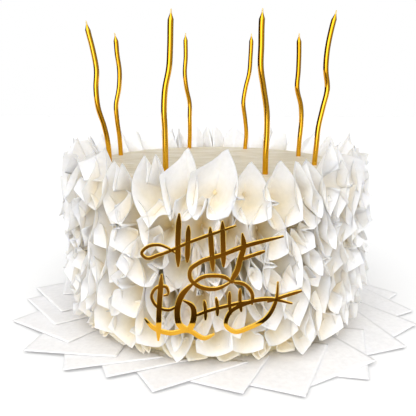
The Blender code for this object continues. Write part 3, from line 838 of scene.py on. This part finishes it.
strokes = bpy.data.collections.new("strokes")
bpy.context.scene.collection.children.link(strokes)
ribbons = [ribbon(k, *one) for k, one in enumerate(STROKES)]
for one in ribbons[1:]:
    strokes.objects.link(one)
first = ribbons[0]
bpy.context.scene.collection.objects.link(first)
union = first.modifiers.new("join", "BOOLEAN")
union.operation = "UNION"
union.operand_type = "COLLECTION"
union.collection = strokes
union.solver = "MANIFOLD"
plate = bpy.data.meshes.new_from_object(first.evaluated_get(bpy.context.evaluated_depsgraph_get()))
points = [(v.co.x, v.co.y + PLATE_Y + v.co.z * PLATE_LEAN, v.co.z) for v in plate.vertices]
faces = [tuple(face.vertices) for face in plate.polygons]
for one in ribbons:
    bpy.data.objects.remove(one)
bpy.data.collections.remove(strokes)
topper = new_piece("scroll_topper", points, faces, gold_mirror, "topper", smooth=False)
topper.data.materials.append(cut_edge)
for face in topper.data.polygons:
    face.material_index = 0 if abs(face.normal.y) > 0.95 else 1
print("topper faces:", len(faces))

# %% [markdown]
# ## The room around
# A white product shot stands in a white dome that is brighter overhead. A plain white world would do for the
# paper, but gold only looks like gold when part of what it mirrors is dark, so mirror rays see a darker room
# instead of the dome: bright to one side, with brown shade below.

# %% World



def grey(level):
    """A neutral colour in linear light, where 1 is white and more is brighter than white."""
    return (level, level, level, 1)


scene = bpy.context.scene
scene.view_settings.view_transform = "Standard"

world = bpy.data.worlds.new("studio")
scene.world = world
world.use_nodes = True
tree = world.node_tree
tree.nodes.clear()
rays = add(tree, "LightPath")
way = add(tree, "SeparateXYZ", {"Vector": add(tree, "TexCoord").outputs["Generated"]})
forward = add(tree, "Math", {0: way.outputs["Y"], 1: -1.0}, operation="MULTIPLY")
round_about = add(tree, "Math", {0: way.outputs["X"], 1: forward.outputs["Value"]}, operation="ARCTAN2")
whole_turn = {"From Min": -math.pi, "From Max": math.pi}
share = add(tree, "MapRange", {"Value": round_about.outputs["Value"], **whole_turn})
room = add(tree, "ValToRGB", {"Fac": share.outputs["Result"]})
ramp_stops(room, [
    (0.0, grey(0.06)), (0.30, grey(0.03)), (0.37, grey(0.3)), (0.42, grey(2.2)), (0.47, grey(2.2)),
    (0.53, grey(0.6)), (0.70, grey(0.4)), (0.85, grey(0.22)), (1.0, grey(0.1)),
])
down = add(tree, "MapRange", {"Value": way.outputs["Z"], "From Min": -0.36, "From Max": -0.14})
below = add(tree, "ValToRGB", {"Fac": down.outputs["Result"]})
ramp_stops(below, [
    (0.0, srgb("#2A231C")), (0.12, srgb("#382E25")), (0.3, srgb("#84705B")),
    (0.5, srgb("#8C7862")), (0.8, srgb("#66584A")), (1.0, srgb("#5A4D40")),
])
above = add(tree, "MapRange", {"Value": way.outputs["Z"], "From Min": -0.14, "From Max": -0.10})
halves = {0: above.outputs["Result"], 6: below.outputs["Color"], 7: room.outputs["Color"]}
around = add(tree, "Mix", halves, data_type="RGBA")
mirrored = add(tree, "Background", {"Color": around.outputs[2], "Strength": 1.0})
brightness = {"From Min": -1.0, "From Max": 1.0, "To Min": 0.24, "To Max": 0.74}
overhead = add(tree, "MapRange", {"Value": way.outputs["Z"], **brightness})
dome = add(tree, "Background", {"Color": srgb("#FFFFFF"), "Strength": overhead.outputs["Result"]})
backdrop = add(tree, "Background", {"Color": srgb("#FFFFFF"), "Strength": 1.0})
lit = add(tree, "MixShader", {0: rays.outputs["Is Glossy Ray"], 1: dome.outputs[0], 2: mirrored.outputs[0]})
seen = add(tree, "MixShader", {0: rays.outputs["Is Camera Ray"], 1: lit.outputs[0], 2: backdrop.outputs[0]})
add(tree, "OutputWorld", {"Surface": seen.outputs[0]})
print("world nodes:", len(tree.nodes))

# %% [markdown]
# ## Two lamps
# One broad soft light comes from the front and above, and a weaker fill from straight ahead opens the shadows
# between the folds. Area lamps would do too, but a wide sun lights all sides of a round cake evenly. The
# golds don't mirror the fill, because it would wash them out.

# %% Lamps

# Each lamp: how wide it is, how strong, how far it is tipped and turned, and whether mirrors show it
LAMPS = (("broad_light", 90, 1.92, 50, -8, True), ("front_fill", 110, 1.0, 80, 0, False))
for name, width, strength, tip, turn, in_mirrors in LAMPS:
    lamp = bpy.data.lights.new(name, "SUN")
    lamp.angle = math.radians(width)
    lamp.energy = strength
    light = bpy.data.objects.new(name, lamp)
    light.rotation_euler = (math.radians(tip), 0, math.radians(turn))
    light.visible_glossy = in_mirrors
    scene.collection.objects.link(light)
    print(name, "from", [round(v, 2) for v in light.rotation_euler.to_matrix().col[2]])

# %% [markdown]
# ## The floor
# A seamless pale sweep would do. Here it is a plane in two halves, because the half nearest the camera isn't
# to show in the golds. Neither half gives bounce light, which would fill the shadows between the folds.

# %% Floor

pale, tree, shader = new_material("pale_floor")
shader.inputs["Base Color"].default_value = srgb("#FBFBFB")
shader.inputs["Roughness"].default_value = 0.9
for name, near, far, in_mirrors in (("floor", -0.25, 3.0, True), ("floor_front", -3.0, -0.25, False)):
    mesh = bpy.data.meshes.new(name)
    mesh.from_pydata([(-3, near, 0), (3, near, 0), (3, far, 0), (-3, far, 0)], [], [(0, 1, 2, 3)])
    mesh.materials.append(pale)
    floor = bpy.data.objects.new(name, mesh)
    floor.visible_glossy = in_mirrors
    floor.visible_diffuse = False
    scene.collection.objects.link(floor)
    print(name, "from", near, "to", far, "m")

# %% [markdown]
# ## The camera
# Its place and lens were fitted to the photograph: 464 mm in front, 199 mm up, looking 13 degrees down, with
# a roll of under a degree. The fit gave the focal length in pixels of a 416 pixel picture, and the lens wants
# it in millimetres of a sensor.

# %% Camera

FOCAL_PIXELS, PICTURE_PIXELS, SENSOR = 532.6, 416, 36
lens = bpy.data.cameras.new("camera")
lens.sensor_width = SENSOR
lens.lens = FOCAL_PIXELS / PICTURE_PIXELS * SENSOR
camera = bpy.data.objects.new("camera", lens)
camera.location = (0, -0.4642, 0.199)
camera.rotation_euler = (math.radians(90 - 13), 0, 0.013)
scene.collection.objects.link(camera)
scene.camera = camera
print("lens:", round(lens.lens, 1), "mm")
